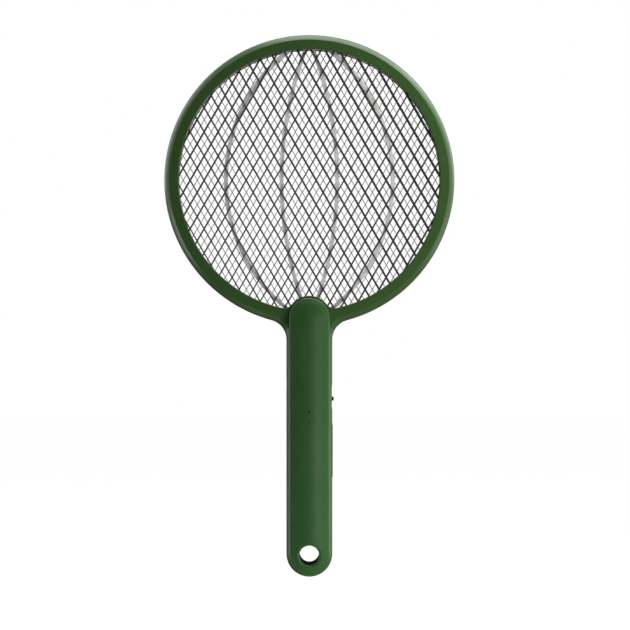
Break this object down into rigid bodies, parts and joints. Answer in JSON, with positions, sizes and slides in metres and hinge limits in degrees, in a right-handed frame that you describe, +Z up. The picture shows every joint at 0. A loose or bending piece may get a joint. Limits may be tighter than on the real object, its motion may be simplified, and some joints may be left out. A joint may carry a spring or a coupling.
{
  "type": "electric bug zapper",
  "caption": "Handheld electric insect swatter: a round head with stacked wire grids on a straight handle with a push bar, slide switch and hanging hole.",
  "frame": {"origin": "on the handle's axis at the middle of the grip, 80 mm above the hanging hole's centre", "axes": "+Z up the handle to the head, -Y out of the front, +X to the side with the push bar"},
  "size_m": [0.22, 0.028, 0.4106],
  "materials": {
    "casing": "moulded ABS, fine satin texture",
    "grid_wire": "dark grey plated steel wire",
    "hv_wire": "bright drawn steel wire",
    "spacer": "light grey nylon",
    "controls": "near-black moulded plastic",
    "screw_steel": "zinc-plated screws",
    "spring_steel": "music wire",
    "socket_steel": "nickel-plated shell",
    "component_plastic": "black moulding compound",
    "light_pipe": "clear acrylic",
    "lamp": "white lamp package",
    "board": "solder-masked laminate",
    "ferrite": "sintered ferrite",
    "winding": "winding under yellow tape",
    "capacitor": "dipped film capacitor",
    "resistor": "lacquered resistor",
    "cell": "sleeved battery cell",
    "nickel": "nickel strip",
    "foam": "closed-cell foam",
    "grid_lead": "white insulated wire",
    "red_lead": "red insulated wire",
    "black_lead": "black insulated wire"
  },
  "bodies": {
    "racket": {"front_shell": "casing", "rear_shell": "casing", "handle_cover": "casing", "front_grid": "grid_wire", "rear_grid": "grid_wire", "mid_grid": "hv_wire", "front_spacer": "spacer", "rear_spacer": "spacer", "rim_screws": "screw_steel", "handle_screws": "screw_steel", "board_screws": "screw_steel", "button_springs": "spring_steel", "charging_socket": "socket_steel", "socket_tongue": "component_plastic", "tact_switch": "component_plastic", "slide_switch": "component_plastic", "control_chip": "component_plastic", "transistor": "component_plastic", "diodes": "component_plastic", "light_pipe": "light_pipe", "indicator_led": "lamp", "circuit_board": "board", "transformer_core": "ferrite", "transformer_winding": "winding", "capacitors": "capacitor", "resistors": "resistor", "battery_cell": "cell", "battery_tabs": "nickel", "battery_pad": "foam", "front_grid_lead": "grid_lead", "mid_grid_lead": "grid_lead", "rear_grid_lead": "grid_lead", "red_battery_lead": "red_lead", "black_battery_lead": "black_lead"},
    "slide_knob": {"switch_knob": "controls", "switch_lever": "component_plastic"},
    "push_bar": {"press_button": "controls", "tact_plunger": "component_plastic"}
  },
  "joints": [
    {"name": "switch_slide", "type": "slide", "parent": "racket", "child": "slide_knob", "axis": [0, 0, 1], "range_m": [0, 0.003]},
    {"name": "button_press", "type": "slide", "parent": "racket", "child": "push_bar", "axis": [-1, 0, 0], "range_m": [0, 0.0008], "stiffness_N_per_m": 1500, "springref_m": -0.001, "deforming": ["button_springs"]}
  ]
}
